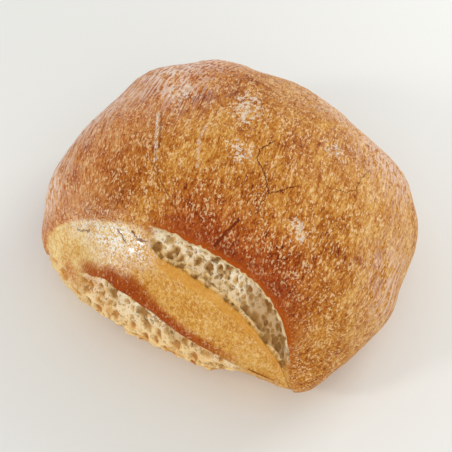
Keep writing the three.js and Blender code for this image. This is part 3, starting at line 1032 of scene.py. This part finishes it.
class BreadWiring(Wiring):
    """The wiring of the bread, with the grains and attributes that several of its looks share."""

    def __init__(self, tree):
        super().__init__(tree)
        own_place = self.node("ShaderNodeTexCoord").outputs["Object"]
        self.place = self.vector("MULTIPLY", own_place, (1 / MILLIMETRE,) * 3)
        self.shifted = self.vector("ADD", self.place, (31.0, 17.0, 5.0))
        self.stretched_grain = stretched_grain_group()
        self.specks_group = specks_group()
        self.fine = self.grain(self.place, 0.38, 0.85)
        self.middling = self.grain(self.place, 1.0, 2.0)
        self.streaks = self.grain(self.place, 0.8, 7.0)
        self.speck_grain = self.grain(self.shifted, 0.5, 1.15)
        self.clusters = self.grain(self.shifted, 2.2, 3.6)
        self.grainy = self.attribute("grainy")
        self.glossy = self.attribute("glossy")
        self.torn = self.attribute("torn")
        self.pore = self.attribute("pore")

    def grain(self, place, across, along):
        return self.group(self.stretched_grain, Place=place, Across=across, Along=along)

    def specks(self, grain, cut, softness):
        return self.group(self.specks_group, Grain=grain, Cut=cut, Softness=softness)


def browned_crust(bread):
    """The crust's own colour, from pale to dark brown."""
    patchy = bread.noise(bread.place, 0.16, 3.0, 0.6)
    swings = ((bread.fine, 0.9), (bread.middling, 0.8), (patchy, 0.7), (bread.streaks, 0.7))
    baked = bread.attribute("baked")
    for grain, strength in swings:
        swing = bread.times(bread.math("SUBTRACT", grain, 0.5), strength)
        baked = bread.plus(baked, bread.times(swing, bread.grainy))
    golden = bread.ramp(baked, GOLDEN_CRUST)
    red = bread.ramp(baked, RED_CRUST)
    return bread.blend(bread.attribute("redness"), golden, red)


def with_specks(bread, crust):
    """The crust with its pale specks, partly dry specks and partly painted glints of its rough surface,
    and its small dark flecks.
    """
    cut = bread.remap(bread.clusters, 0.35, 0.65, 0.62, 0.5)
    pale = bread.specks(bread.speck_grain, cut, 0.07)
    # The pale specks are partly painted glints
    crust = bread.blend(bread.times(pale, bread.times(bread.grainy, 0.76)), crust, DRY_SPECK_AND_PAINTED_GLINT)
    dark = bread.specks(bread.rest_of(bread.speck_grain), 0.6, 0.12)
    return bread.blend(bread.times(dark, bread.times(bread.grainy, 0.25)), crust, DARK_FLECK)


def dust_and_painted_sheen_streaks(bread):
    """Where fine dust and a painted sheen lie on the crust, in streaks along the stretch of the dough."""
    streaks = bread.specks(bread.grain(bread.shifted, 0.9, 8.0), 0.44, 0.12)
    return bread.times(bread.attribute("dust_and_painted_sheen"), streaks)


def flour_patches(bread):
    """Where flour lies on the crust."""
    grain = bread.noise(bread.vector("ADD", bread.place, (7.0, 3.0, 11.0)), 0.75, 4.0, 0.7)
    cut = bread.remap(bread.attribute("floured"), 0.0, 1.0, 0.72, 0.47)
    flour = bread.specks(grain, cut, 0.06)
    return bread.times(flour, bread.remap(bread.fine, 0.35, 0.6, 0.35, 0.9))


def with_glints_and_edges(bread, crust):
    """The crust with its painted glints, the flap's dark lip, the ear's orange rim and the strip's upper
    edge.
    """
    # Painted highlight: white glints painted on where the shoulder is glossy
    glints = bread.specks(bread.noise(bread.shifted, 1.9, 2.0, 0.6), 0.47, 0.04)
    glints = bread.times(glints, bread.remap(bread.clusters, 0.36, 0.5, 0.35, 1.0))
    crust = bread.blend(bread.times(glints, bread.glossy), crust, PAINTED_GLINT)
    lip = bread.broken_up("lip", bread.fine, 0.35, 0.6, 0.85, 0.4)
    crust = bread.blend(lip, crust, DARK_LIP)
    rim = bread.broken_up("rim", bread.speck_grain, 0.45, 0.6, 1.0, 0.7)
    crust = bread.blend(rim, crust, ORANGE_RIM)
    return bread.blend(bread.times(bread.attribute("top_band"), 0.6), crust, STRIP_TOP_BAND)


def line_mask(bread, crack_piece, lines):
    """Lines on top of the dome, a little jagged. Each comes with its width and how strong it is."""
    shake = bread.vector("SUBTRACT", bread.shake(bread.place, 1.1, 2.0), (0.5, 0.5, 0.5))
    shaken = bread.vector("ADD", bread.place, bread.vector("MULTIPLY", shake, (1.1, 1.1, 0.0)))
    flat = bread.vector("MULTIPLY", shaken, (1.0, 1.0, 0.0))
    mask = 0.0
    for line, width, strength in lines:
        for start, end in zip(line, line[1:]):
            piece = bread.group(crack_piece, Place=flat, From=(*start, 0.0), To=(*end, 0.0), Width=width)
            mask = bread.larger(bread.times(piece, strength), mask)
    height = bread.node("ShaderNodeSeparateXYZ", {0: bread.place}).outputs["Z"]
    return bread.times(mask, bread.remap(height, 24.0, 30.0))


def with_folds_and_cracks(bread, crust):
    """The crust with its floured folds and its cracks, and where the cracks are."""
    crack_piece = crack_group()
    folds = line_mask(bread, crack_piece, FOLDS)
    crust = bread.blend(bread.times(folds, bread.remap(bread.fine, 0.4, 0.6)), crust, FLOUR)
    cracks = line_mask(bread, crack_piece, CRACKS)
    return bread.blend(cracks, crust, CRACK_DEPTH_COLOUR), cracks


def torn_crumb(bread, pores):
    """The torn crumb's colour, with painted light on the walls of its pores and painted shade in them,
    and how high it stands.
    """
    drawn = bread.vector("MULTIPLY", bread.place, (1.0, PORE_STRETCH, PORE_STRETCH))
    shake = bread.vector("MULTIPLY", bread.shake(bread.place, 0.9, 3.0), (1.2, 1.2, 1.2))
    shaken = bread.vector("ADD", drawn, shake)
    middling = bread.group(pores, Place=shaken, Spacing=1.5, Largest=0.42)
    small = bread.group(pores, Place=shaken, Spacing=0.75, Largest=0.45)
    # Painted light and shade: the crumb is paler on its walls and darker deep in its pores
    crumb = bread.blend(bread.remap(bread.pore, 0.02, 0.3), PAINTED_LIT_CRUMB_WALL, CRUMB)
    yellowed = bread.broken_up("yellowed", bread.fine, 0.3, 0.7, 0.4, 0.9)
    crumb = bread.blend(yellowed, crumb, YELLOWED_CRUMB)
    crumb = bread.blend(bread.remap(bread.pore, 0.3, 0.95, 0.0, 0.85), crumb, PAINTED_PORE_SHADE)
    # Painted light on the crumb just under the ear
    crumb = bread.blend(bread.times(bread.attribute("painted_light_under_the_ear"), 0.5), crumb, PAINTED_LIT_CRUMB_WALL)
    shade = bread.remap(bread.noise(bread.place, 0.8, 2.0), 0.35, 0.65, 0.25, 0.8)
    crumb = bread.blend(bread.times(middling, shade), crumb, PAINTED_PORE_SHADE)
    crumb = bread.blend(bread.times(small, 0.45), crumb, PAINTED_PORE_SHADE)
    crumb = bread.blend(bread.remap(bread.fine, 0.35, 0.7, 0.25, 0.0), crumb, PAINTED_PORE_SHADE)
    # The smoother skin, darkened partly by painted shade
    film_and_painted_shade = bread.broken_up("film_and_painted_shade", bread.pore, 0.0, 0.2, 0.75, 0.95)
    crumb = bread.blend(film_and_painted_shade, crumb, CRUMB_FILM_AND_PAINTED_SHADE)
    height = bread.plus(bread.times(middling, -0.35), bread.times(small, -0.15))
    return crumb, bread.times(height, bread.rest_of(film_and_painted_shade))


def with_toasted_dough(bread, colours):
    """The bread's colours with the pale dough round the lower tear, toasted in its hollows and darker in
    its pores, both partly painted shade.
    """
    # The toasted hollows also stand for painted shade
    spots = bread.broken_up("hollow", bread.middling, 0.3, 0.6, 0.5, 1.0)
    dough = bread.blend(bread.remap(bread.fine, 0.4, 0.65, 0.0, 0.5), PALE_DOUGH, TOASTED_SPOT)
    dough = bread.blend(spots, dough, TOASTED_SPOT)
    lumpy = bread.attribute("toasted_dough")
    colours = bread.blend(bread.times(lumpy, 0.9), colours, dough)
    pore = bread.times(lumpy, bread.remap(bread.pore, 0.2, 0.8, 0.0, 0.9))
    return bread.blend(pore, colours, TOASTED_PORE_AND_PAINTED_SHADE)


def with_spots_in_the_tears(bread, colours):
    """The bread's colours with the golden spots of the tears, painted shade in their hollows and under
    the flap, and their pale edges, partly painted light.
    """
    # Painted shade in the tears' hollows and under the flap
    painted_shade_holes = bread.specks(bread.noise(bread.shifted, 0.55, 3.0), 0.54, 0.06)
    painted_shade_holes = bread.times(painted_shade_holes, bread.attribute("painted_shade_under_the_flap"))
    painted_shade_holes = bread.larger(painted_shade_holes, bread.attribute("painted_shade_in_hollows"))
    golden = bread.broken_up("golden_spot", bread.fine, 0.3, 0.6, 0.9, 0.5)
    colours = bread.blend(golden, colours, TOASTED_SPOT)
    colours = bread.blend(painted_shade_holes, colours, PAINTED_PORE_SHADE)
    return bread.blend(bread.attribute("pale_edge_and_painted_light"), colours, PALE_RIM_AND_PAINTED_LIGHT)


def bumps(bread, crumb_height, cracks):
    """The fine relief that is too small for the mesh."""
    height = bread.times(bread.fine, 0.32)
    height = bread.plus(height, bread.times(bread.middling, 0.26))
    height = bread.plus(height, bread.times(bread.streaks, 0.16))
    height = bread.node("ShaderNodeMix", {0: bread.torn, 2: height, 3: crumb_height}).outputs[0]
    height = bread.math("SUBTRACT", height, bread.times(cracks, 0.4))
    inputs = {"Height": height, "Distance": MILLIMETRE, "Strength": 1.0}
    return bread.node("ShaderNodeBump", inputs).outputs["Normal"]


def crusty_bread():
    """Browned crust with flour, specks and cracks, and the pale crumb where the slash tore open."""
    material, shader = new_material("crusty_bread")
    shader.inputs["Specular IOR Level"].default_value = 0.08
    shader.inputs["Coat Roughness"].default_value = 0.12
    bread = BreadWiring(material.node_tree)

    crust = with_specks(bread, browned_crust(bread))
    crust = bread.blend(dust_and_painted_sheen_streaks(bread), crust, DUST_AND_PAINTED_SHEEN)
    flour = flour_patches(bread)
    crust = bread.blend(flour, crust, FLOUR)
    crust = with_glints_and_edges(bread, crust)
    crust, cracks = with_folds_and_cracks(bread, crust)
    crumb, crumb_height = torn_crumb(bread, pores_group())
    colours = bread.blend(bread.torn, crust, crumb)
    colours = with_toasted_dough(bread, colours)
    colours = with_spots_in_the_tears(bread, colours)
    bread.feed(shader.inputs["Base Color"], colours)

    rough = bread.remap(bread.fine, 0.35, 0.65, 0.38, 0.55)
    rough = bread.larger(rough, bread.times(bread.torn, 0.85))
    rough = bread.larger(rough, bread.times(flour, 0.9))
    bread.feed(shader.inputs["Roughness"], rough)
    varnished = bread.larger(bread.glossy, BAKED_SHINE)
    matte = bread.larger(bread.larger(bread.torn, flour), cracks)
    bread.feed(shader.inputs["Coat Weight"], bread.times(varnished, bread.rest_of(matte)))
    bread.feed(shader.inputs["Normal"], bumps(bread, crumb_height, cracks))
    return material


FLOOR_REACH = 3.0
FLOOR_COLOUR = (0.86, 0.865, 0.83, 1.0)


def pale_floor():
    """The plain surface under the roll."""
    mesh = bpy.data.meshes.new("floor")
    corners = [(x * FLOOR_REACH, y * FLOOR_REACH, 0) for x, y in ((-1, -1), (1, -1), (1, 1), (-1, 1))]
    mesh.from_pydata(corners, [], [(0, 1, 2, 3)])
    material, shader = new_material("pale_floor")
    shader.inputs["Base Color"].default_value = FLOOR_COLOUR
    shader.inputs["Roughness"].default_value = 0.75
    mesh.materials.append(material)
    floor = placed("floor", mesh)


VIEW_AZIMUTH = math.radians(33.523)
VIEW_ELEVATION = math.radians(50)
VIEW_DISTANCE = 0.3
VIEW_TARGET = Vector((0.00012, -0.00394, 0.022))
IMAGE_SIDE = 452
SENSOR_WIDTH = 36.0
MIDDLE_TO_RIGHT = 2.156  # how far the target lies from the middle of the image, in pixels
MIDDLE_DOWN = 10.316
PIXELS_PER_MILLIMETRE = 3.6


def view_direction():
    """From the roll towards the camera."""
    level = math.cos(VIEW_ELEVATION)
    along_x = math.sin(VIEW_AZIMUTH) * level
    along_y = -math.cos(VIEW_AZIMUTH) * level
    return Vector((along_x, along_y, math.sin(VIEW_ELEVATION)))


def look_at_the_roll():
    """The camera, at the photograph's angle."""
    back = view_direction()
    data = bpy.data.cameras.new("camera")
    data.sensor_width = SENSOR_WIDTH
    data.lens = PIXELS_PER_MILLIMETRE * VIEW_DISTANCE / MILLIMETRE / IMAGE_SIDE * SENSOR_WIDTH
    data.shift_x = -MIDDLE_TO_RIGHT / IMAGE_SIDE
    data.shift_y = -MIDDLE_DOWN / IMAGE_SIDE
    data.clip_start = 0.01
    turn = (-back).to_track_quat("-Z", "Y")
    bpy.context.scene.camera = turned("camera", data, VIEW_TARGET + back * VIEW_DISTANCE, turn)


DAYLIGHT = (1.0, 0.98, 0.96)
WHITE = (1.0, 1.0, 1.0)

# The soft lights: which way each lies from the roll, how far off, its size and its power
Window = namedtuple("Window", "name right ahead up distance size power tint")
WINDOWS = [
    Window("window_left", -0.45, -0.2, 0.3, 0.6, 0.1, 0.7, DAYLIGHT),
    Window("window_front", 0.1, -0.5, 0.28, 0.6, 0.4, 0.7, DAYLIGHT),
    Window("window_far_right", 0.3, 0.24, 0.24, 0.47, 0.25, 0.78, WHITE),
]


def window_light(window):
    """A soft square light that faces the roll. Its direction is as the camera sees it."""
    right = Vector((math.cos(VIEW_AZIMUTH), math.sin(VIEW_AZIMUTH), 0))
    ahead = Vector((-math.sin(VIEW_AZIMUTH), math.cos(VIEW_AZIMUTH), 0))
    up = Vector((0, 0, 1))
    direction = window.right * right + window.ahead * ahead + window.up * up
    data = bpy.data.lights.new(window.name, "AREA")
    data.size = window.size
    data.energy = window.power
    data.color = window.tint
    place = VIEW_TARGET + direction.normalized() * window.distance
    turned(window.name, data, place, direction.to_track_quat("Z", "Y"))


def studio():
    """Soft light from the left, the front and the far right, in a pale room."""
    for window in WINDOWS:
        window_light(window)
    world = bpy.data.worlds.new("pale_room")
    world.use_nodes = True
    background = world.node_tree.nodes["Background"]
    background.inputs["Color"].default_value = (*WHITE, 1.0)
    background.inputs["Strength"].default_value = 0.64
    bpy.context.scene.world = world
    bpy.context.scene.view_settings.view_transform = "Standard"


roll = baked_roll(crusty_bread())
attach(roll, "root")
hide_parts("bread_roll")
pale_floor()
studio()
look_at_the_roll()
